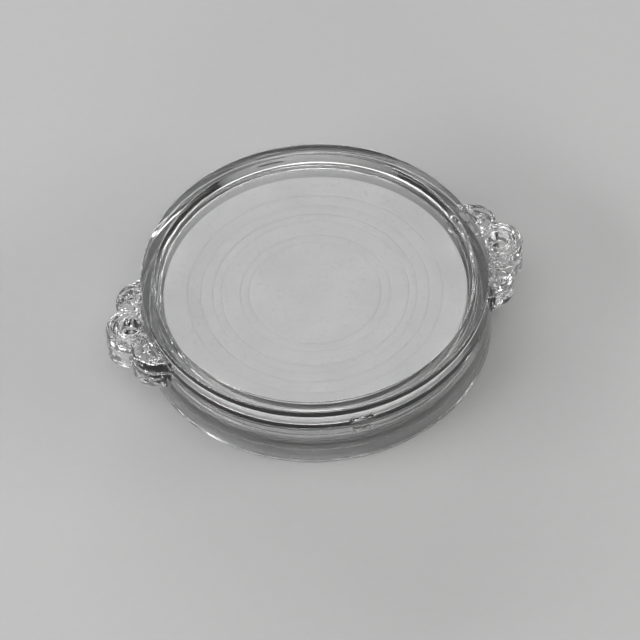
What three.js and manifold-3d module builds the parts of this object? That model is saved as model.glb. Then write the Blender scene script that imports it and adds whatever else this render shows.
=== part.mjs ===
// A push-fit coin capsule: two clear shells with eyelet ears, and a foam pad cut into concentric rings.
// Millimetres, +Z up. The origin is on the capsule's axis, on the surface that it stands on.
// +X runs through both ears, and -Y is the front, where each shell has its gate mark.
import * as THREE from "three";
import { mergeVertices } from "three/addons/utils/BufferGeometryUtils.js";
import Module from "manifold-3d";

// Both shells
const HEIGHT = 11.3; // foot rim to stacking rim, closed
const PARTING = 7.5; // height of the line between the shells
const PARTING_GAP = 0.3;
const EDGE = 0.15; // chamfer on the outer corners
const SHELL_SEGMENTS = 96;

// Base shell: a cup
const FOOT_RADIUS = 25.65;
const FOOT_INNER_RADIUS = 24.4;
const FOOT_HEIGHT = 2.1; // from the foot rim to the underside of the floor
const FLOOR = 1.8; // thickness
const BASE_PARTING_RADIUS = 25.55;
const SOCKET_RADIUS = 23.9; // inside the cup's wall
const BASE_GATE = { width: 3.0, height: 1.2, middle: 6.5, reach: 25.75 };

// Lid shell: a shallow cap with a spigot that goes down into the cup
const RIM_RADIUS = 25.4;
const LID_PARTING_RADIUS = 25.5;
const WINDOW = 1.2; // thickness
const RECESS = 1.6; // depth of the window inside the stacking rim
const RECESS_RADIUS = 23.4; // at the stacking rim
const WINDOW_RADIUS = 23.05; // at the foot of the recess's sloping wall
const CHAMBER_RADIUS = 22.65; // inside the spigot
const SPIGOT_GAP = 0.3; // to the cup's wall beside the spigot and to its floor
const LID_GATE = { width: 4.0, height: 1.2, middle: 8.5, reach: 25.65 };

const GATE_DEPTH = 0.8; // from a gate mark's flat face into the wall

// Ears
const EYE_X = 27.9; // from the axis to the middle of an eyelet
const EYE_RADIUS = 1.45;
const COLLAR_RADIUS = 1.95;
const COLLAR_HEIGHT = 0.2;
const COLLAR_SEGMENTS = 32;
const MAIN_LOBE = 3.5; // radius of the lobe round the eyelet
const SIDE_LOBE = 3.9;
const SIDE_LOBE_X = 24.9;
const SIDE_LOBE_Y = 4.25;
const ROOT_RADIUS = 24.8; // the ear ends here, inside the shell's wall
const ROOT_Y = 8.5;
const LID_EAR = 2.0; // thickness
const BASE_EAR = 3.1;
const ARC_STEPS = 7; // half the straight steps in each arc of the outline

// Foam pad
const PAD_THICKNESS = 3.1;
const PAD_RADIUS = 22.2;
const PAD_CLEARANCE = 0.05; // over the floor
const CUT_DIAMETERS = [19.3, 22, 27.4, 29.9, 33.4, 37.3];
const KERF = 0.15; // width of a cut
const FOAM_SEGMENTS = 72;

const WINDOW_TOP = HEIGHT - RECESS;
const WINDOW_UNDERSIDE = WINDOW_TOP - WINDOW;
const FLOOR_TOP = FOOT_HEIGHT + FLOOR;
const SPIGOT_RADIUS = SOCKET_RADIUS - SPIGOT_GAP;
const SPIGOT_BOTTOM = FLOOR_TOP + SPIGOT_GAP;
const LID_BOTTOM = PARTING + PARTING_GAP / 2;
const BASE_TOP = PARTING - PARTING_GAP / 2;

const wasm = await Module();
wasm.setup();

const clearPlastic = new THREE.MeshStandardMaterial({
  color: 0xeef2f2,
  roughness: 0.08,
  metalness: 0,
  transparent: true,
  opacity: 0.35,
});
const whiteFoam = new THREE.MeshStandardMaterial({ color: 0xe6e8eb, roughness: 0.9, metalness: 0 });

// A closed geometry as a manifold-3d solid.
function toSolid(geometry) {
  const bare = new THREE.BufferGeometry();
  bare.setAttribute("position", geometry.getAttribute("position"));
  bare.setIndex(geometry.getIndex());
  const merged = mergeVertices(bare, 1e-4);
  const mesh = new wasm.Mesh({
    numProp: 3,
    vertProperties: merged.getAttribute("position").array,
    triVerts: new Uint32Array(merged.getIndex().array),
  });
  return new wasm.Manifold(mesh);
}

// A manifold-3d solid as a geometry with flat faces.
function toGeometry(solid) {
  const mesh = solid.getMesh();
  const indexed = new THREE.BufferGeometry();
  indexed.setAttribute("position", new THREE.BufferAttribute(mesh.vertProperties, 3));
  indexed.setIndex(new THREE.BufferAttribute(mesh.triVerts, 1));
  const geometry = indexed.toNonIndexed();
  geometry.computeVertexNormals();
  return geometry;
}

// A solid of revolution about Z, from [radius, height] points that run anticlockwise round its section.
function turned(points, segments) {
  const profile = points.map(([radius, height]) => new THREE.Vector2(radius, height));
  return new THREE.LatheGeometry(profile, segments).rotateX(Math.PI / 2);
}

// The point with the larger x where the circles about a and b cross.
function crossing(a, radiusA, b, radiusB) {
  const along = b.clone().sub(a);
  const distance = along.length();
  along.normalize();
  const reach = (distance ** 2 + radiusA ** 2 - radiusB ** 2) / (2 * distance);
  const rise = Math.sqrt(radiusA ** 2 - reach ** 2) * Math.sign(along.y);
  const across = new THREE.Vector2(along.y, -along.x);
  return a.clone().addScaledVector(along, reach).addScaledVector(across, rise);
}

const angleFrom = (centre, point) => Math.atan2(point.y - centre.y, point.x - centre.x);

// The outline of the ear on the +X side: three round lobes, closed along an arc inside the shell's wall.
function earShape() {
  const eye = new THREE.Vector2(EYE_X, 0);
  const left = new THREE.Vector2(SIDE_LOBE_X, SIDE_LOBE_Y);
  const right = new THREE.Vector2(SIDE_LOBE_X, -SIDE_LOBE_Y);
  const leftValley = crossing(eye, MAIN_LOBE, left, SIDE_LOBE);
  const rightValley = crossing(eye, MAIN_LOBE, right, SIDE_LOBE);
  const rootAngle = Math.asin(ROOT_Y / ROOT_RADIUS);
  const shape = new THREE.Shape();
  shape.absarc(right.x, right.y, SIDE_LOBE, -Math.PI / 2, angleFrom(right, rightValley), false);
  shape.absarc(eye.x, eye.y, MAIN_LOBE, angleFrom(eye, rightValley), angleFrom(eye, leftValley), false);
  shape.absarc(left.x, left.y, SIDE_LOBE, angleFrom(left, leftValley), Math.PI / 2, false);
  shape.absarc(0, 0, ROOT_RADIUS, rootAngle, -rootAngle, true);
  shape.closePath();
  return shape;
}

// One ear from bottom to top, with a raised collar round its eyelet on the outer face.
function ear(bottom, top, collarUp) {
  const depth = top - bottom;
  const plate = new THREE.ExtrudeGeometry(earShape(), { depth, bevelEnabled: false, curveSegments: ARC_STEPS });
  plate.translate(0, 0, bottom);
  const collar = new THREE.CylinderGeometry(COLLAR_RADIUS, COLLAR_RADIUS, depth, COLLAR_SEGMENTS);
  collar.rotateX(Math.PI / 2);
  collar.translate(EYE_X, 0, (bottom + top) / 2 + (collarUp ? COLLAR_HEIGHT : -COLLAR_HEIGHT));
  return toSolid(plate).add(toSolid(collar));
}

function eyelet() {
  const hole = new THREE.CylinderGeometry(EYE_RADIUS, EYE_RADIUS, HEIGHT, COLLAR_SEGMENTS);
  hole.rotateX(Math.PI / 2);
  hole.translate(EYE_X, 0, HEIGHT / 2);
  return toSolid(hole);
}

// Joins an ear to each side of a shell, and opens both eyelets.
function withEars(shell, bottom, top, collarUp) {
  let solid = shell;
  for (const turn of [0, 180]) {
    solid = solid.add(ear(bottom, top, collarUp).rotate([0, 0, turn]));
    solid = solid.subtract(eyelet().rotate([0, 0, turn]));
  }
  return solid;
}

function gateMark({ width, height, middle, reach }) {
  const block = new THREE.BoxGeometry(width, GATE_DEPTH, height);
  block.translate(0, -reach + GATE_DEPTH / 2, middle);
  return toSolid(block);
}

function baseShell() {
  const section = [
    [0, FOOT_HEIGHT],
    [FOOT_INNER_RADIUS, FOOT_HEIGHT],
    [FOOT_INNER_RADIUS, 0],
    [FOOT_RADIUS - EDGE, 0],
    [FOOT_RADIUS, EDGE],
    [BASE_PARTING_RADIUS, BASE_TOP],
    [SOCKET_RADIUS, BASE_TOP],
    [SOCKET_RADIUS, FLOOR_TOP],
    [0, FLOOR_TOP],
  ];
  const shell = toSolid(turned(section, SHELL_SEGMENTS)).add(gateMark(BASE_GATE));
  return toGeometry(withEars(shell, BASE_TOP - BASE_EAR, BASE_TOP, false));
}

function lidShell() {
  const section = [
    [0, WINDOW_UNDERSIDE],
    [CHAMBER_RADIUS, WINDOW_UNDERSIDE],
    [CHAMBER_RADIUS, SPIGOT_BOTTOM],
    [SPIGOT_RADIUS - EDGE, SPIGOT_BOTTOM],
    [SPIGOT_RADIUS, SPIGOT_BOTTOM + EDGE],
    [SPIGOT_RADIUS, LID_BOTTOM],
    [LID_PARTING_RADIUS, LID_BOTTOM],
    [RIM_RADIUS, HEIGHT - EDGE],
    [RIM_RADIUS - EDGE, HEIGHT],
    [RECESS_RADIUS, HEIGHT],
    [WINDOW_RADIUS, WINDOW_TOP],
    [0, WINDOW_TOP],
  ];
  const shell = toSolid(turned(section, SHELL_SEGMENTS)).add(gateMark(LID_GATE));
  return toGeometry(withEars(shell, LID_BOTTOM, LID_BOTTOM + LID_EAR, true));
}

const PAD_BOTTOM = FLOOR_TOP + PAD_CLEARANCE;
const PAD_TOP = PAD_BOTTOM + PAD_THICKNESS;

function foamDisc(radius) {
  const section = [
    [0, PAD_BOTTOM],
    [radius, PAD_BOTTOM],
    [radius, PAD_TOP],
    [0, PAD_TOP],
  ];
  return turned(section, FOAM_SEGMENTS);
}

function foamRing(inner, outer) {
  const section = [
    [inner, PAD_BOTTOM],
    [outer, PAD_BOTTOM],
    [outer, PAD_TOP],
    [inner, PAD_TOP],
    [inner, PAD_BOTTOM],
  ];
  return turned(section, FOAM_SEGMENTS);
}

const capsule = new THREE.Group();

function place(name, geometry, material) {
  const mesh = new THREE.Mesh(geometry, material.clone());
  mesh.name = name;
  capsule.add(mesh);
}

place("base_shell", baseShell(), clearPlastic);
place("foam_centre_disc", foamDisc((CUT_DIAMETERS[0] - KERF) / 2), whiteFoam);
CUT_DIAMETERS.forEach((cut, index) => {
  const next = CUT_DIAMETERS[index + 1];
  const outer = next === undefined ? PAD_RADIUS : (next - KERF) / 2;
  place(`foam_ring_${index + 1}`, foamRing((cut + KERF) / 2, outer), whiteFoam);
});
place("lid_shell", lidShell(), clearPlastic);

export default capsule;
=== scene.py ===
"""The looks of a clear push-fit coin capsule.

Two moulded shells with eyelet ears and a foam pad cut into rings replace the plain CAD solids."""

from math import acos, atan2, ceil, cos, hypot, pi, radians, sin, sqrt, tan

import bmesh
import bpy
import numpy as np
from mathutils import Euler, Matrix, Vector, noise
from mathutils.geometry import delaunay_2d_cdt


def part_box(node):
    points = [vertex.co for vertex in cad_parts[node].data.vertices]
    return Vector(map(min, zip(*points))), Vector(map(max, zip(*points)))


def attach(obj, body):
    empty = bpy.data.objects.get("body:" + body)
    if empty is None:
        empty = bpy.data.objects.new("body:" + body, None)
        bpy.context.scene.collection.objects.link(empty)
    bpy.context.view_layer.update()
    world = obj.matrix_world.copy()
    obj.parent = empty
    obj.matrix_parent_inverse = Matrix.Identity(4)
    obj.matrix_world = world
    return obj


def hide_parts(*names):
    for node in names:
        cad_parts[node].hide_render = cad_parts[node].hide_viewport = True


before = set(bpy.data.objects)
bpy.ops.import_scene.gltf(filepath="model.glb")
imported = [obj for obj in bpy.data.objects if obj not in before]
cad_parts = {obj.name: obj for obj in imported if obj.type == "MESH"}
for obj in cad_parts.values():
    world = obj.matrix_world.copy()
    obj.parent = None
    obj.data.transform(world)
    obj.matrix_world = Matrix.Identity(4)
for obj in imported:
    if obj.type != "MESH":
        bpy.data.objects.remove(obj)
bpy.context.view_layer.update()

# Sizes are in millimetres in this script, and meshes are scaled to metres as they are made.
MM = 0.001


def corners_mm(node):
    """The lowest and highest corner of a CAD node, in millimetres."""
    low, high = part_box(node)
    return np.array(low) / MM, np.array(high) / MM


# Heights and radii that the frame gives
_, BASE_HIGH = corners_mm("base_shell")
LID_LOW, LID_HIGH = corners_mm("lid_shell")
_, DISC_HIGH = corners_mm("foam_centre_disc")
RINGS = sorted(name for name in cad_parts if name.startswith("foam_ring_"))
HEIGHT = LID_HIGH[2]
BASE_TOP = BASE_HIGH[2]
SPIGOT_BOTTOM = LID_LOW[2]
EAR_REACH = LID_HIGH[0]

# Both shells
PARTING_GAP = 0.3
LID_BOTTOM = BASE_TOP + PARTING_GAP
COLUMNS = 360  # round each shell
FILLET_STEPS = 5
SUPPORT = 0.03  # from a fillet's end to the point that keeps the flat beside it flat
RIM_ROUND = 0.16
PARTING_ROUND = 0.06
WALL_MIDDLE = 25.0  # a radius inside both shells' walls

# Base shell
FOOT_RADIUS = 25.65
FOOT_INNER_RADIUS = 24.4
FOOT_HEIGHT = 2.1  # from the foot rim to the underside of the floor
FLOOR = 1.8  # thickness
FLOOR_TOP = FOOT_HEIGHT + FLOOR
FLOOR_FILLET = 0.25  # where the floor meets the wall, above and below
BASE_PARTING_RADIUS = 25.55
SOCKET_RADIUS = 23.9  # inside the cup's wall
SOCKET_ROUND = 0.15

# Lid shell
RIM_RADIUS = 25.4
LID_PARTING_RADIUS = 25.5
WINDOW = 1.2  # thickness
RECESS = 1.6  # depth of the window inside the stacking rim
RECESS_RADIUS = 23.4  # at the stacking rim
WINDOW_RADIUS = 23.05  # at the foot of the recess's sloping wall
WINDOW_FILLET = 0.3
WINDOW_TOP = HEIGHT - RECESS
WINDOW_UNDERSIDE = WINDOW_TOP - WINDOW
CHAMBER_RADIUS = 22.65  # inside the spigot
CHAMBER_FILLET = 0.2
SPIGOT_GAP = 0.3  # to the cup's wall
SPIGOT_RADIUS = SOCKET_RADIUS - SPIGOT_GAP
SPIGOT_INNER_ROUND = 0.15
SPIGOT_OUTER_ROUND = 0.25
SPIGOT_ROOT = 0.1

# Gate marks, on the walls at the front: width, height, middle height, and reach from the axis
GATE_ANGLE = 270
LID_GATE = (4.0, 1.2, 8.5, 25.65)
BASE_GATE = (3.0, 1.2, 6.5, 25.75)
GATE_SPREAD = 7  # degrees each side of the mark with finer columns
GATE_COLUMN = 0.2  # degrees between them
GATE_ROW = 0.1  # between the wall's rows there
GATE_MARGIN = 0.2  # finer rows above and below the mark
GATE_ROW_GAP = 0.04  # nearest that a finer row comes to an ear's face
GATE_EDGE = 0.25  # the patch rises to its full height over this distance
GATE_SINK = 0.02  # from the mark's reach in to the patch's mean face
GATE_LEAST = 0.03  # least height of the patch over the wall
# Noise layers of a mark's outline and of its torn face: height, frequencies across and up, seed
GATE_OUTLINE = [(0.2, 1.3, 1.3, 0), (0.12, 3.4, 3.4, 2)]
GATE_FACE = [(0.1, 1.6, 2.2, 4), (0.09, 3.8, 5, 8)]

# Ears
EYE_X = 27.9
EYE_RADIUS = 1.45
COLLAR_RADIUS = 1.95
COLLAR_HEIGHT = 0.2
MAIN_LOBE = EAR_REACH - EYE_X
SIDE_LOBE = 3.9
SIDE_LOBE_X = 24.9
SIDE_LOBE_Y = 4.25
VALLEY_FILLET = 0.45
ROOT_ANGLE = 19.5  # degrees each side of the X axis
LID_EAR = 2.0
BASE_EAR = 3.1
EAR_SETBACK = 0.1  # from a shell's parting edge to its ears' flat faces
OUTER_ROUND = 0.4  # rounding of an ear's edges on its relief side
INNER_ROUND = 0.14  # and on its flat side
ROUND_FADE = 0.9  # the rounding dies away over this distance from the wall
OUTLINE_STEP = 0.13  # between points of the outline
RELIEF_STEP = 0.13  # between points of the face with the relief
FLAT_STEP = 0.7  # and of the flat face
HOLE_STEPS = 72
EDGE_TURNS = (25, 45, 65, 90)  # degrees round a rounded edge to each row of points on it
EAR_REGION = ((23.5, 31.6), (-8.5, 8.5))  # x and y that hold the ear on the +X side
GRID_GAP = 0.4  # from the grid's points to an edge, as a share of the grid's step
ROOT_GAP = 0.05  # from a face's points to the wall
RELIEF_FADE = 0.5  # the relief rises over this distance from the ear's edge

# Relief on an ear's outer face: half widths and heights of its ridges
COLLAR_RIDGE = (0.34, 0.2)
COLLAR_RIDGE_RADIUS = 2.72
SCROLL_RIDGE = (0.36, 0.26)
SCROLL_TWIST = 0.62
SCROLL_CENTRE = (26.35, 5.25)
LEAF_RIDGE = (0.22, 0.16)
LEAF_RADIUS = 26.35
CURL_BEAD = 0.36  # radius of the bead in the middle of a scroll
BEADS = [(26.15, 2.2, 0.3), (26.15, 3.05, 0.27), (26.9, 2.75, 0.24), (25.95, 7.35, 0.26)]  # x, y, radius

# Foam
CUT_WIDTH = 0.15  # of the CAD solids' cuts
SHOWN_CUT = 0.01  # of the cuts here, which spring nearly shut
LIP_WIDTH = 0.55
LIP_DEPTH = 0.09
LIP_TURNS = (0, 25, 50, 70, 90)  # degrees round a lip to each row of points on it
BOTTOM_EDGE = 0.06  # bevel on the underside's edges
FOAM_SHARP = 50  # degrees between faces that make a sharp edge
DISC_ROWS = 12
RING_ROWS = 9
PRESSED = 0.07  # the pad is stuck to the floor, so its underside is this far below its CAD solid's
LIFTS = [0.02, -0.02, 0.015, -0.015, 0.02, -0.01, 0.01]  # of each piece's face, off its neighbours'
FOAM_COLUMN = 1.0  # degrees between columns


# Camera and light


def add_camera():
    """The camera, looking down at the capsule from the front and a little to the left."""
    elevation, azimuth, roll = radians(50.5), radians(13.09), radians(3.09)
    distance = 1.012
    target_height = 6.32 * MM
    target = Vector((0, 0, target_height))
    outward = Vector((-sin(azimuth) * cos(elevation), -cos(azimuth) * cos(elevation), sin(elevation)))
    data = bpy.data.cameras.new("camera")
    data.lens = 389.7
    data.sensor_width = 36
    data.shift_x = 0.00677
    data.shift_y = -0.03486
    data.clip_start, data.clip_end = 0.01, 10
    camera = bpy.data.objects.new("camera", data)
    camera.location = target + outward * distance
    turn = (-outward).to_track_quat("-Z", "Y")
    camera.rotation_mode = "QUATERNION"
    camera.rotation_quaternion = turn @ Euler((0, 0, -roll)).to_quaternion()
    bpy.context.scene.collection.objects.link(camera)
    bpy.context.scene.camera = camera


def add_softbox(name, place, size, power, colour=(1, 1, 1)):
    """A rectangular area light at place, facing the capsule."""
    data = bpy.data.lights.new(name, "AREA")
    data.shape = "RECTANGLE"
    data.size, data.size_y = size
    data.energy = power
    data.color = colour
    light = bpy.data.objects.new(name, data)
    light.location = place
    light.rotation_mode = "QUATERNION"
    light.rotation_quaternion = (-Vector(place)).to_track_quat("-Z", "Y")
    bpy.context.scene.collection.objects.link(light)


def add_studio():
    """A dim surround with large softboxes, which draw the light and dark lines in the clear plastic."""
    world = bpy.data.worlds.new("studio")
    world.use_nodes = True
    background = world.node_tree.nodes["Background"]
    background.inputs["Color"].default_value = (0.985, 0.99, 1, 1)
    background.inputs["Strength"].default_value = 0.17
    bpy.context.scene.world = world
    add_softbox("top_box", (-0.12, -0.12, 0.80), (1.1, 0.9), 4.2)
    add_softbox("back_strip", (-0.05, 0.95, 0.26), (1.1, 0.14), 6.8)
    add_softbox("left_strip", (-0.80, -0.05, 0.36), (0.8, 0.16), 5.2)
    add_softbox("right_strip", (0.75, -0.25, 0.30), (0.6, 0.12), 3.0, (1, 0.97, 0.93))
    add_softbox("front_strip", (-0.25, -0.85, 0.22), (0.5, 0.10), 2.4, (1, 0.98, 0.95))
    bpy.context.scene.view_settings.view_transform = "Standard"


# Materials


def add_node(tree, kind, settings=None, inputs=None):
    """A shader node with its properties and inputs set. An input whose value is an output is linked."""
    node = tree.nodes.new(kind)
    for key, value in (settings or {}).items():
        setattr(node, key, value)
    for key, value in (inputs or {}).items():
        if isinstance(value, bpy.types.NodeSocket):
            tree.links.new(value, node.inputs[key])
        else:
            node.inputs[key].default_value = value
    return node


def new_material(name, colour):
    """A material, its node tree, its Principled shader, and the object coordinates in metres."""
    material = bpy.data.materials.new(name)
    material.use_nodes = True
    material.diffuse_color = (*colour, 1)
    tree = material.node_tree
    shader = tree.nodes["Principled BSDF"]
    place = add_node(tree, "ShaderNodeTexCoord").outputs["Object"]
    return material, tree, shader, place


def noise_value(tree, place, size, detail=2, roughness=0.5, distortion=0):
    """Noise from 0 to 1 whose features are about size millimetres across."""
    inputs = {"Vector": place, "Scale": 1 / (size * MM), "Detail": detail}
    inputs.update({"Roughness": roughness, "Distortion": distortion})
    return add_node(tree, "ShaderNodeTexNoise", inputs=inputs).outputs["Fac"]


def stretched(tree, place, scale, turn=0):
    """The coordinates turned about Z by turn degrees, then scaled along each axis."""
    inputs = {"Vector": place, "Rotation": (0, 0, radians(turn)), "Scale": scale}
    return add_node(tree, "ShaderNodeMapping", {"vector_type": "TEXTURE"}, inputs).outputs["Vector"]


def remapped(tree, value, old, new):
    """A value moved from the range old to the range new, and kept inside it."""
    inputs = {"Value": value, "From Min": old[0], "From Max": old[1], "To Min": new[0], "To Max": new[1]}
    return add_node(tree, "ShaderNodeMapRange", inputs=inputs).outputs["Result"]


def combined(tree, operation, first, second):
    """Two values put through a maths operation."""
    return add_node(tree, "ShaderNodeMath", {"operation": operation}, {0: first, 1: second}).outputs[0]


def blended(tree, factor, first, second):
    """A colour between two, by a factor from 0 to 1."""
    mix = add_node(tree, "ShaderNodeMix", {"data_type": "RGBA"}, {"Factor": factor})
    mix.inputs["A"].default_value = (*first, 1)
    mix.inputs["B"].default_value = (*second, 1)
    return mix.outputs["Result"]


def bumped(tree, height, strength, distance):
    """The normal of a surface with that relief, whose full height is distance millimetres."""
    inputs = {"Height": height, "Strength": strength, "Distance": distance * MM}
    return add_node(tree, "ShaderNodeBump", inputs=inputs).outputs["Normal"]


def shifted(tree, place, offset):
    """The coordinates moved by an offset in metres, so that two pieces don't share a pattern."""
    inputs = {"Vector": place, "Location": offset}
    return add_node(tree, "ShaderNodeMapping", inputs=inputs).outputs["Vector"]


def scratches(tree, place, turn, size):
    """Sparse hairline scratches at one angle, from 0 to 1."""
    lines = noise_value(tree, stretched(tree, place, (14, 0.5, 3), turn), size, 1)
    return remapped(tree, lines, (0.70, 0.74), (0, 1))


def clear_plastic(name, seed):
    """Injection-moulded clear polystyrene, with faint flow ripples, haze and hairline scratches."""
    material, tree, shader, place = new_material(name, (0.93, 0.95, 0.95))
    place = shifted(tree, place, (seed, 0, 0))
    marks = combined(tree, "MAXIMUM", scratches(tree, place, 24, 0.9), scratches(tree, place, -51, 1.3))
    haze = remapped(tree, noise_value(tree, place, 5, 3), (0.35, 0.7), (0.012, 0.05))
    roughness = combined(tree, "ADD", haze, combined(tree, "MULTIPLY", marks, 0.08))
    ripple = combined(tree, "MULTIPLY", noise_value(tree, place, 2.6, 2), 0.5)
    height = combined(tree, "SUBTRACT", ripple, combined(tree, "MULTIPLY", marks, 0.12))
    normal = bumped(tree, height, 0.3, 0.02)
    tint = blended(tree, noise_value(tree, place, 9, 1), (0.984, 0.987, 0.987), (0.994, 0.995, 0.995))
    tree.links.new(tint, shader.inputs["Base Color"])
    tree.links.new(roughness, shader.inputs["Roughness"])
    tree.links.new(normal, shader.inputs["Normal"])
    shader.inputs["Transmission Weight"].default_value = 1
    shader.inputs["IOR"].default_value = 1.57
    return material


def white_foam(name, seed):
    """Fine closed-cell white foam sheet: a skin of tiny cells, with a few open pores and specks."""
    material, tree, shader, place = new_material(name, (0.82, 0.83, 0.85))
    place = shifted(tree, place, (0, seed, 0))
    cell_size = 0.32
    cells = add_node(tree, "ShaderNodeTexVoronoi", inputs={"Vector": place, "Scale": 1 / (cell_size * MM)})
    pores = remapped(tree, cells.outputs["Distance"], (0.05, 0.45), (0, 1))
    grain = noise_value(tree, place, 0.5, 4, 0.6)
    sheet = noise_value(tree, place, 7, 2)
    speck = remapped(tree, noise_value(tree, place, 0.7, 1), (0.645, 0.71), (0, 1))
    height = combined(tree, "ADD", combined(tree, "MULTIPLY", pores, 0.5), grain)
    height = combined(tree, "ADD", height, combined(tree, "MULTIPLY", sheet, 1.5))
    height = combined(tree, "SUBTRACT", height, combined(tree, "MULTIPLY", speck, 3))
    normal = bumped(tree, height, 0.45, 0.05)
    mottle = remapped(tree, combined(tree, "ADD", sheet, grain), (0.7, 1.3), (0, 1))
    shade = combined(tree, "SUBTRACT", mottle, speck)
    colour = blended(tree, shade, (0.850, 0.850, 0.853), (0.938, 0.937, 0.937))
    tree.links.new(colour, shader.inputs["Base Color"])
    tree.links.new(remapped(tree, grain, (0.3, 0.7), (0.8, 0.95)), shader.inputs["Roughness"])
    tree.links.new(normal, shader.inputs["Normal"])
    return material


def pale_floor():
    """Matt pale grey board."""
    material, tree, shader, place = new_material("floor", (0.7, 0.7, 0.7))
    grain = noise_value(tree, place, 1.5, 5, 0.6)
    colour = blended(tree, grain, (0.405, 0.405, 0.407), (0.43, 0.43, 0.432))
    tree.links.new(colour, shader.inputs["Base Color"])
    shader.inputs["Roughness"].default_value = 0.8
    return material


# Sections


def filleted(corners):
    """The points of a section given as (radius, height, fillet) corners, with an arc at each filleted one.

    A point just past each end of an arc keeps the shading of the flat beside it flat."""
    points = []
    places = [np.array(corner[:2], float) for corner in corners]
    for index, (_, _, fillet) in enumerate(corners):
        here = places[index]
        if not fillet:
            points.append(here)
            continue
        back = places[index - 1] - here
        ahead = places[index + 1] - here
        back /= np.linalg.norm(back)
        ahead /= np.linalg.norm(ahead)
        half = acos(np.clip(back @ ahead, -1, 1)) / 2
        middle = (back + ahead) / np.linalg.norm(back + ahead)
        centre = here + middle * fillet / sin(half)
        start = here + back * fillet / tan(half) - centre
        end = here + ahead * fillet / tan(half) - centre
        turn = pi - 2 * half
        points.append(centre + start + back * SUPPORT)
        for share in np.linspace(0, 1, FILLET_STEPS + 1):
            points.append(centre + (sin((1 - share) * turn) * start + sin(share * turn) * end) / sin(turn))
        points.append(centre + end + ahead * SUPPORT)
    return np.array(points)


def wall_radius(height, low, high):
    """The radius at a height on a drafted wall from low to high, each (radius, height)."""
    share = (height - low[1]) / (high[1] - low[1])
    return low[0] + share * (high[0] - low[0])


# Mesh building


class Builder:
    """Vertices and faces of one piece, in millimetres."""

    def __init__(self):
        self.points = []
        self.faces = []

    def add(self, x, y, z):
        self.points.append((x, y, z))
        return len(self.points) - 1

    def strip(self, first, second, closed=False):
        """Quads between two rows of vertices."""
        count = len(first)
        for k in range(count if closed else count - 1):
            n = (k + 1) % count
            self.faces.append((first[k], first[n], second[n], second[k]))

    def piece(self, name, material, sharp=30):
        """The finished object, with its faces pointing outward and edges over sharp degrees left sharp."""
        mesh = bpy.data.meshes.new(name)
        mesh.from_pydata([tuple(c * MM for c in p) for p in self.points], [], self.faces)
        work = bmesh.new()
        work.from_mesh(mesh)
        bmesh.ops.recalc_face_normals(work, faces=work.faces)
        loose = [edge for edge in work.edges if len(edge.link_faces) != 2]
        if loose:
            raise ValueError(f"{name} has {len(loose)} open or shared edges")
        work.to_mesh(mesh)
        work.free()
        mesh.shade_smooth()
        mesh.set_sharp_from_angle(angle=radians(sharp))
        mesh.materials.append(material)
        piece = bpy.data.objects.new(name, mesh)
        bpy.context.scene.collection.objects.link(piece)
        return piece


def lathe(builder, section, angles, skip=None, move=None):
    """Turns a section whose ends are on the axis. Returns the vertices as [column][row], ends shared.

    skip(column, row) leaves out a quad, and move(angle, radius, height) gives a vertex its radius."""
    count = len(section)
    bottom = builder.add(0, 0, section[0][1])
    top = builder.add(0, 0, section[-1][1])
    grid = []
    for angle in angles:
        rows = [bottom]
        for row in range(1, count - 1):
            radius, height = section[row]
            if move:
                radius = move(angle, radius, height)
            rows.append(builder.add(radius * cos(angle), radius * sin(angle), height))
        grid.append(rows + [top])
    for column in range(len(angles)):
        near, far = grid[column], grid[(column + 1) % len(angles)]
        builder.faces.append((bottom, near[1], far[1]))
        builder.faces.append((top, far[-2], near[-2]))
        for row in range(1, count - 2):
            if not (skip and skip(column, row)):
                builder.faces.append((near[row], near[row + 1], far[row + 1], far[row]))
    return grid


# Ears


def crossing(a, radius_a, b, radius_b):
    """The point with the larger x where the circles about a and b cross."""
    a, b = np.array(a), np.array(b)
    along = b - a
    distance = np.linalg.norm(along)
    along /= distance
    reach = (distance**2 + radius_a**2 - radius_b**2) / (2 * distance)
    rise = sqrt(radius_a**2 - reach**2)
    across = np.array((along[1], -along[0])) * (1 if along[1] > 0 else -1)
    return a + along * reach + across * rise


def arc(centre, radius, start, end, outward=1):
    """Points along an arc with the outline's outward normal at each. Angles are in radians."""
    steps = ceil(abs(end - start) * radius / OUTLINE_STEP)
    turns = np.linspace(start, end, max(steps, 3) + 1)
    ray = np.stack([np.cos(turns), np.sin(turns)], 1)
    return np.array(centre) + radius * ray, outward * ray


def bearing(centre, point):
    return atan2(point[1] - centre[1], point[0] - centre[0])


def ear_outline():
    """The three lobes of the ear on the +X side, without the root, from -Y to +Y: points and normals."""
    eye = (EYE_X, 0)
    side = (SIDE_LOBE_X, SIDE_LOBE_Y)
    valley = crossing(eye, MAIN_LOBE + VALLEY_FILLET, side, SIDE_LOBE + VALLEY_FILLET)
    upper = [
        arc(eye, MAIN_LOBE, 0, bearing(eye, valley)),
        arc(valley, VALLEY_FILLET, bearing(valley, eye), bearing(valley, side) - 2 * pi, -1),
        arc(side, SIDE_LOBE, bearing(side, valley), pi / 2),
    ]
    points = np.concatenate([upper[0][0]] + [part[0][1:] for part in upper[1:]])
    normals = np.concatenate([upper[0][1]] + [part[1][1:] for part in upper[1:]])
    mirror = np.array((1, -1))
    points = np.concatenate([points[:0:-1] * mirror, points])
    normals = np.concatenate([normals[:0:-1] * mirror, normals])
    return points, normals


def soft_step(value, low, high):
    """0 below low, 1 above high, and a smooth rise between."""
    share = np.clip((value - low) / (high - low), 0, 1)
    return share * share * (3 - 2 * share)


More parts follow.
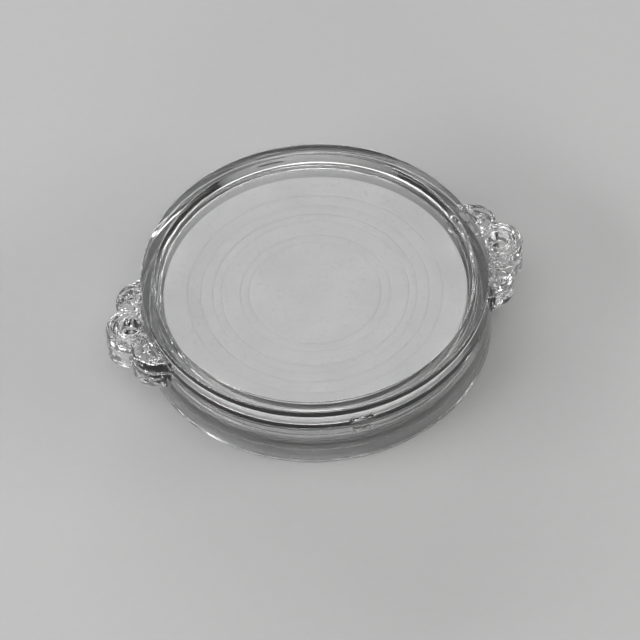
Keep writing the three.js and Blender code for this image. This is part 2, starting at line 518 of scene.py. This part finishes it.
def distance_to(points, line):
    """The distance from each point to the nearest segment of a line, and how far along the line that is."""
    start, end = line[:-1], line[1:]
    step = end - start
    lengths = np.linalg.norm(step, axis=1)
    before = np.concatenate([[0], np.cumsum(lengths)[:-1]])
    best = np.full(len(points), np.inf)
    along = np.zeros(len(points))
    for a, s, length, run in zip(start, step, lengths, before):
        share = np.clip(((points - a) @ s) / length**2, 0, 1)
        gap = np.linalg.norm(points - a - share[:, None] * s, axis=1)
        closer = gap < best
        best[closer] = gap[closer]
        along[closer] = run + share[closer] * length
    return best, along


def ridge(points, line, half_width, height, twist=0):
    """A rounded ridge along a line, with rope-like swells twist millimetres apart."""
    gap, along = distance_to(points, line)
    rise = np.cos(np.clip(gap / half_width, 0, 1) * pi / 2) ** 1.2 * height
    if twist:
        rise *= 0.82 + 0.18 * np.cos(2 * pi * (along / twist + 0.35 * gap / half_width))
    return rise


def bead(points, centre, radius):
    """A half-round bead."""
    gap = np.linalg.norm(points - np.array(centre), axis=1)
    return np.sqrt(np.clip(radius**2 - gap**2, 0, None))


def scroll_line(mirror):
    """A volute on a side lobe: it leaves the valley, follows the lobe's edge and curls in."""
    turns = np.linspace(radians(-58), radians(360), 90)
    radius = np.interp(turns, [turns[0], radians(120), turns[-1]], [2.45, 2.0, 0.55])
    line = np.array(SCROLL_CENTRE) + radius[:, None] * np.stack([np.cos(turns), np.sin(turns)], 1)
    return line * np.array((1, mirror))


def collar_line():
    """An open ring round the collar, along the main lobe's edge."""
    turns = np.linspace(radians(-128), radians(128), 60)
    return np.array((EYE_X, 0)) + COLLAR_RIDGE_RADIUS * np.stack([np.cos(turns), np.sin(turns)], 1)


def leaf_line(mirror):
    """A short curved leaf between the collar and the wall."""
    turns = np.linspace(radians(6.2), radians(14.5), 20)
    return LEAF_RADIUS * np.stack([np.cos(turns), np.sin(turns)], 1) * np.array((1, mirror))


def relief(points):
    """The height of the raised ornament over an ear's outer face, in millimetres."""
    rise = ridge(points, collar_line(), *COLLAR_RIDGE)
    for mirror in (1, -1):
        rise = np.maximum(rise, ridge(points, scroll_line(mirror), *SCROLL_RIDGE, SCROLL_TWIST))
        rise = np.maximum(rise, ridge(points, leaf_line(mirror), *LEAF_RIDGE))
        for x, y, radius in BEADS:
            rise = np.maximum(rise, bead(points, (x, y * mirror), radius))
        x, y = SCROLL_CENTRE
        rise = np.maximum(rise, 0.9 * bead(points, (x, y * mirror), CURL_BEAD))
    from_eye = np.linalg.norm(points - np.array((EYE_X, 0)), axis=1)
    collar = COLLAR_HEIGHT * (1 - soft_step(from_eye, COLLAR_RADIUS - 0.06, COLLAR_RADIUS + 0.12))
    rise = rise * soft_step(from_eye, COLLAR_RADIUS, COLLAR_RADIUS + 0.3)
    return np.maximum(rise, collar)


def hex_points(step):
    """An even grid of points over the ear on the +X side."""
    (left, right), (front, back) = EAR_REGION
    rows = []
    for index, y in enumerate(np.arange(front, back, step * sqrt(3) / 2)):
        x = np.arange(left, right, step) + (index % 2) * step / 2
        rows.append(np.stack([x, np.full_like(x, y)], 1))
    return np.concatenate(rows)


def edge_drop(distance, size):
    """How far a rounded edge of that size falls at a distance in from the edge."""
    inward = np.clip(distance, 0, size)
    return size - np.sqrt(np.maximum(size**2 - (size - inward) ** 2, 0))


def triangulated(points, count, holes):
    """Triangles over points. The first count of them are the outline, and the next ones a hole's edge."""
    edges = [(k, (k + 1) % count) for k in range(count)]
    edges += [(count + k, count + (k + 1) % holes) for k in range(holes)]
    _, _, triangles, origins, _, _ = delaunay_2d_cdt([Vector(p) for p in points], edges, [], 0, 1e-7)
    if not all(origins):
        raise ValueError("the ear's outline crosses itself")
    index = [old[0] for old in origins]
    return np.array([[index[v] for v in triangle] for triangle in triangles])


def ear_face(builder, turn, border, root, hole, height, side, rounding, ornament):
    """One flat face of an ear, triangulated between its border, the shell's wall and the eyelet.

    border and hole are the vertices already made along the outline and round the eyelet, and root those on
    the wall. side is 1 for the top face and -1 for the bottom one, and ornament adds the relief."""
    step = RELIEF_STEP if ornament else FLAT_STEP
    eye = np.array((EYE_X, 0))
    flat = np.array([builder.points[v][:2] for v in border + root]) * turn
    ring = np.array([builder.points[v][:2] for v in hole]) * turn
    wall = np.linalg.norm(flat[-1])
    loop = Inside(flat)
    outline, normals = ear_outline()
    fans = rounding * (1 - np.cos(np.radians(EDGE_TURNS)))
    inner = [outline - normals * fan for fan in fans]
    circles = [eye + (ring - eye) * (1 + fan / EYE_RADIUS) for fan in fans]
    grid = hex_points(step)
    edge_gap, _ = distance_to(grid, flat[: len(border)])
    eye_gap = np.linalg.norm(grid - eye, axis=1) - EYE_RADIUS
    free = (edge_gap > rounding + GRID_GAP * step) & (eye_gap > rounding + GRID_GAP * step)
    free &= np.linalg.norm(grid, axis=1) > wall + GRID_GAP * step
    extra = np.concatenate(inner + circles + [grid[free & loop(grid)]])
    extra = extra[(np.linalg.norm(extra, axis=1) > wall + ROOT_GAP) & loop(extra)]
    every = np.concatenate([flat, ring, extra])
    corners = triangulated(every, len(flat), len(ring))
    edge_gap, _ = distance_to(extra, flat[: len(border)])
    eye_gap = np.linalg.norm(extra - eye, axis=1) - EYE_RADIUS
    fade = soft_step(np.linalg.norm(extra, axis=1) - wall, 0, ROUND_FADE)
    drop = np.maximum(edge_drop(edge_gap, rounding) * fade, edge_drop(eye_gap, rounding))
    rise = relief(extra) * soft_step(edge_gap, 0, RELIEF_FADE) if ornament else np.zeros(len(extra))
    known = border + root + hole
    for (x, y), level in zip(extra, height + side * (rise - drop)):
        known.append(builder.add(x * turn, y * turn, level))
    centres = every[corners].mean(axis=1)
    past_hole = np.linalg.norm(centres - eye, axis=1) > EYE_RADIUS * cos(pi / HOLE_STEPS)
    for triangle in corners[loop(centres) & past_hole]:
        builder.faces.append(tuple(known[v] for v in triangle))


class Inside:
    """Tells which points are inside a closed outline."""

    def __init__(self, outline):
        self.start = outline
        self.end = np.roll(outline, -1, axis=0)

    def __call__(self, points):
        inside = np.zeros(len(points), bool)
        for (ax, ay), (bx, by) in zip(self.start, self.end):
            spans = (ay > points[:, 1]) != (by > points[:, 1])
            if spans.any():
                x = ax + (points[:, 1] - ay) * (bx - ax) / (by - ay if by != ay else 1)
                inside ^= spans & (points[:, 0] < x)
        return inside


def eyelet_ring(builder, turn, level):
    """A ring of vertices round an eyelet."""
    turns = np.linspace(0, 2 * pi, HOLE_STEPS, endpoint=False)
    spots = [(EYE_X + EYE_RADIUS * cos(t), EYE_RADIUS * sin(t)) for t in turns]
    return [builder.add(x * turn, y * turn, level) for x, y in spots]


def add_ear(builder, grid, columns, rows, turn, relief_up):
    """Joins an ear to the opening in the shell's wall: columns are the opening's, and rows run up it.

    turn is 1 on the +X side and -1 on the -X side. The relief faces down where relief_up is false."""
    first, last = columns[0], columns[-1]
    outline, _ = ear_outline()
    heights = [builder.points[grid[first][row]][2] for row in rows]
    bottom, top = heights[0], heights[-1]
    bottom_round, top_round = (INNER_ROUND, OUTER_ROUND) if relief_up else (OUTER_ROUND, INNER_ROUND)
    wall = hypot(*builder.points[grid[first][rows[0]]][:2])
    fade = soft_step(np.linalg.norm(outline, axis=1) - wall, 0, ROUND_FADE)
    lowest = bottom + bottom_round * fade
    highest = top - top_round * fade
    levels = []
    for row, height in zip(rows, heights):
        share = (height - bottom) / (top - bottom)
        level = lowest + share * (highest - lowest)
        edge = [builder.add(x * turn, y * turn, z) for (x, y), z in zip(outline, level)]
        levels.append([grid[first][row]] + edge + [grid[last][row]])
    for below, above in zip(levels, levels[1:]):
        builder.strip(below, above)
    low_hole = eyelet_ring(builder, turn, bottom + bottom_round - (0 if relief_up else COLLAR_HEIGHT))
    high_hole = eyelet_ring(builder, turn, top - top_round + (COLLAR_HEIGHT if relief_up else 0))
    builder.strip(low_hole, high_hole, closed=True)
    between = columns[-2:0:-1]
    low_root = [grid[column][rows[0]] for column in between]
    high_root = [grid[column][rows[-1]] for column in between]
    ear_face(builder, turn, levels[0], low_root, low_hole, bottom, -1, bottom_round, not relief_up)
    ear_face(builder, turn, levels[-1], high_root, high_hole, top, 1, top_round, relief_up)


# Shells


def column_angles():
    """The angles of a shell's columns: half a degree off the whole degrees, and closer at the gate mark."""
    coarse = [k + 0.5 for k in range(COLUMNS) if abs(k + 0.5 - GATE_ANGLE) > GATE_SPREAD]
    fine = np.arange(GATE_ANGLE - GATE_SPREAD + 0.5, GATE_ANGLE + GATE_SPREAD, GATE_COLUMN)
    return sorted(coarse + [float(a) for a in fine])


def ear_columns(angles, middle):
    """The columns across the ear whose middle is at that angle, in order round the shell."""
    spread = [(((a - middle + 180) % 360) - 180, k) for k, a in enumerate(angles)]
    return [k for offset, k in sorted(spread) if abs(offset) <= ROOT_ANGLE + 0.01]


def shell(name, section, ear_rows, relief_up, material, move):
    """A turned shell with an ear welded into its wall on each side."""
    angles = column_angles()
    builder = Builder()
    openings = {0: ear_columns(angles, 0), 180: ear_columns(angles, 180)}
    skipped = {column for columns in openings.values() for column in columns[:-1]}
    inside = set(ear_rows[:-1])
    turned = [radians(a) for a in angles]
    grid = lathe(builder, section, turned, lambda column, row: column in skipped and row in inside, move)
    for middle, columns in openings.items():
        add_ear(builder, grid, columns, ear_rows, 1 if middle == 0 else -1, relief_up)
    return builder.piece(name, material)


def rows_between(section, low, high, radius):
    """The rows of a section on its outer wall from low to high."""
    return [k for k, (r, z) in enumerate(section) if r > radius and low - 1e-6 <= z <= high + 1e-6]


def layered_noise(across, up, seed, layers):
    """The sum of noise layers, each (height, frequency across, frequency up, seed)."""
    spots = [(size, Vector((across * fast, up * steep, seed + own))) for size, fast, steep, own in layers]
    return sum(size * noise.noise(spot) for size, spot in spots)


def gate_radius(gate, seed, angle, height, radius):
    """The wall's radius at a gate mark: a ragged, torn patch that stands a little proud."""
    width, tall, middle, reach = gate
    turn = angle - radians(GATE_ANGLE)
    across, up = reach * tan(turn), height - middle
    if abs(across) > width or abs(up) > tall:
        return radius
    inside = min(width / 2 - abs(across), tall / 2 - abs(up))
    inside += layered_noise(across, up, seed, GATE_OUTLINE)
    mask = float(soft_step(inside, 0, GATE_EDGE))
    proud = reach / cos(turn) - radius - GATE_SINK + layered_noise(across, up, seed, GATE_FACE)
    return radius + mask * max(proud, GATE_LEAST)


def wall_rows(low, high, ear_levels, gate):
    """The corners up an outer wall: a row at each ear's face, and rows close together at the gate mark."""
    _, tall, middle, _ = gate
    finer = np.arange(middle - tall / 2 - GATE_MARGIN, middle + tall / 2 + GATE_MARGIN, GATE_ROW)
    levels = list(ear_levels)
    levels += [z for z in finer if min(abs(z - level) for level in ear_levels) > GATE_ROW_GAP]
    return [(wall_radius(z, low, high), z, 0) for z in sorted(levels)]


def make_shell(body, node, corners, ear_levels, relief_up, gate, gate_seed, material):
    """A shell from its section's corners, in place of its CAD node."""
    section = filleted(corners)
    rows = rows_between(section, *ear_levels, WALL_MIDDLE)

    def move(angle, radius, height):
        return gate_radius(gate, gate_seed, angle, height, radius) if radius > WALL_MIDDLE else radius

    piece = shell(body, section, rows, relief_up, material, move)
    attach(piece, body)
    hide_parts(node)


def make_lid():
    """The lid: a recessed window in a stacking rim, and a spigot that goes down into the base."""
    low = (LID_PARTING_RADIUS, LID_BOTTOM)
    high = (RIM_RADIUS, HEIGHT)
    ear_levels = (LID_BOTTOM + EAR_SETBACK, LID_BOTTOM + LID_EAR)
    corners = [
        (0, WINDOW_UNDERSIDE, 0),
        (CHAMBER_RADIUS, WINDOW_UNDERSIDE, CHAMBER_FILLET),
        (CHAMBER_RADIUS, SPIGOT_BOTTOM, SPIGOT_INNER_ROUND),
        (SPIGOT_RADIUS, SPIGOT_BOTTOM, SPIGOT_OUTER_ROUND),
        (SPIGOT_RADIUS, LID_BOTTOM, SPIGOT_ROOT),
        (LID_PARTING_RADIUS, LID_BOTTOM, PARTING_ROUND),
        *wall_rows(low, high, ear_levels, LID_GATE),
        (RIM_RADIUS, HEIGHT, RIM_ROUND),
        (RECESS_RADIUS, HEIGHT, RIM_ROUND),
        (WINDOW_RADIUS, WINDOW_TOP, WINDOW_FILLET),
        (0, WINDOW_TOP, 0),
    ]
    material = clear_plastic("clear_plastic_lid", 0.13)
    make_shell("lid", "lid_shell", corners, ear_levels, True, LID_GATE, 3, material)


def make_base():
    """The base: a cup on a hollow foot."""
    low = (FOOT_RADIUS, 0)
    high = (BASE_PARTING_RADIUS, BASE_TOP)
    ear_levels = (BASE_TOP - BASE_EAR, BASE_TOP - EAR_SETBACK)
    corners = [
        (0, FOOT_HEIGHT, 0),
        (FOOT_INNER_RADIUS, FOOT_HEIGHT, FLOOR_FILLET),
        (FOOT_INNER_RADIUS, 0, RIM_ROUND),
        (FOOT_RADIUS, 0, RIM_ROUND),
        *wall_rows(low, high, ear_levels, BASE_GATE),
        (BASE_PARTING_RADIUS, BASE_TOP, PARTING_ROUND),
        (SOCKET_RADIUS, BASE_TOP, SOCKET_ROUND),
        (SOCKET_RADIUS, FLOOR_TOP, FLOOR_FILLET),
        (0, FLOOR_TOP, 0),
    ]
    material = clear_plastic("clear_plastic_base", 0.41)
    make_shell("base", "base_shell", corners, ear_levels, False, BASE_GATE, 6, material)


# Foam


def cut_radius(cut, angle):
    """The radius of a cut at an angle: the blade wandered a little."""
    sway = noise.noise(Vector((1.3 * cos(angle), 1.3 * sin(angle), 5.7 * cut)))
    flutter = noise.noise(Vector((6 * cos(angle), 6 * sin(angle), 5.7 * cut)))
    return cut + 0.07 * sway + 0.02 * flutter


def foam_level(x, y, seed):
    """How far the foam's face stands above or below its nominal height."""
    slow = noise.noise(Vector((x / 9, y / 9, 3 * seed)))
    fine = noise.noise(Vector((x / 2.2, y / 2.2, 3 * seed + 1)))
    return 0.02 * slow + 0.006 * fine


def foam_section(inner, outer, bottom, top):
    """(radius, height) points from the underside's outer edge over the top to the middle or the inner edge."""
    turns = np.radians(LIP_TURNS)
    middle = (bottom + top) / 2
    points = [(outer - BOTTOM_EDGE, bottom), (outer, bottom + BOTTOM_EDGE), (outer, middle)]
    points += [(outer - LIP_WIDTH * (1 - cos(t)), top - LIP_DEPTH * (1 - sin(t))) for t in turns]
    if not inner:
        return points + [(r, top) for r in np.linspace(outer - LIP_WIDTH, 0, DISC_ROWS)[1:-1]]
    points += [(r, top) for r in np.linspace(outer - LIP_WIDTH, inner + LIP_WIDTH, RING_ROWS)[1:-1]]
    points += [(inner + LIP_WIDTH * (1 - cos(t)), top - LIP_DEPTH * (1 - sin(t))) for t in turns[::-1]]
    return points + [(inner, middle), (inner, bottom + BOTTOM_EDGE), (inner + BOTTOM_EDGE, bottom)]


def foam_piece(name, node, inner_cut, outer_cut, lift):
    """A disc, or a ring between two cuts, with the cuts' soft lips. A cut of 0 isn't there.

    lift is how far its face stands off its neighbours'."""
    low, high = corners_mm(node)
    bottom, top = low[2] - PRESSED, high[2]
    builder = Builder()
    columns = []
    for angle in np.radians(np.arange(0, 360, FOAM_COLUMN)):
        outer = cut_radius(outer_cut, angle) - SHOWN_CUT / 2 if outer_cut else high[0]
        inner = cut_radius(inner_cut, angle) + SHOWN_CUT / 2 if inner_cut else 0
        column = []
        for radius, height in foam_section(inner, outer, bottom, top):
            x, y = radius * cos(angle), radius * sin(angle)
            share = (height - bottom) / (top - bottom)
            column.append(builder.add(x, y, height + share**3 * (lift + foam_level(x, y, inner_cut))))
        columns.append(column)
    for near, far in zip(columns, columns[1:] + columns[:1]):
        builder.strip(near, far)
        if inner_cut:
            builder.faces.append((near[-1], near[0], far[0], far[-1]))
    if not inner_cut:
        top_pole = builder.add(0, 0, top + lift + foam_level(0, 0, 0))
        bottom_pole = builder.add(0, 0, bottom)
        for near, far in zip(columns, columns[1:] + columns[:1]):
            builder.faces.append((near[-1], far[-1], top_pole))
            builder.faces.append((near[0], far[0], bottom_pole))
    piece = builder.piece(name, white_foam("foam_" + name, 0.17 * (inner_cut or 1)), FOAM_SHARP)
    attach(piece, name)
    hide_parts(node)


def make_foam():
    """The centre disc and the rings round it, each between its neighbours' cuts."""
    outers = [DISC_HIGH[0]] + [corners_mm(node)[1][0] for node in RINGS]
    cuts = [0] + [radius + CUT_WIDTH / 2 for radius in outers[:-1]] + [0]
    foam_piece("centre_disc", "foam_centre_disc", cuts[0], cuts[1], LIFTS[0])
    for index, node in enumerate(RINGS, 1):
        foam_piece(f"ring_{index}", node, cuts[index], cuts[index + 1], LIFTS[index])


# Stage


def add_floor():
    """A pale board under the capsule, a hair below its foot."""
    half, steps = 1.5, 24
    drop = 0.03 * MM
    mesh = bpy.data.meshes.new("floor")
    work = bmesh.new()
    bmesh.ops.create_grid(work, x_segments=steps, y_segments=steps, size=half)
    work.to_mesh(mesh)
    work.free()
    mesh.materials.append(pale_floor())
    board = bpy.data.objects.new("floor", mesh)
    board.location.z = -drop
    bpy.context.scene.collection.objects.link(board)


add_camera()
add_studio()
add_floor()
make_foam()
make_base()
make_lid()
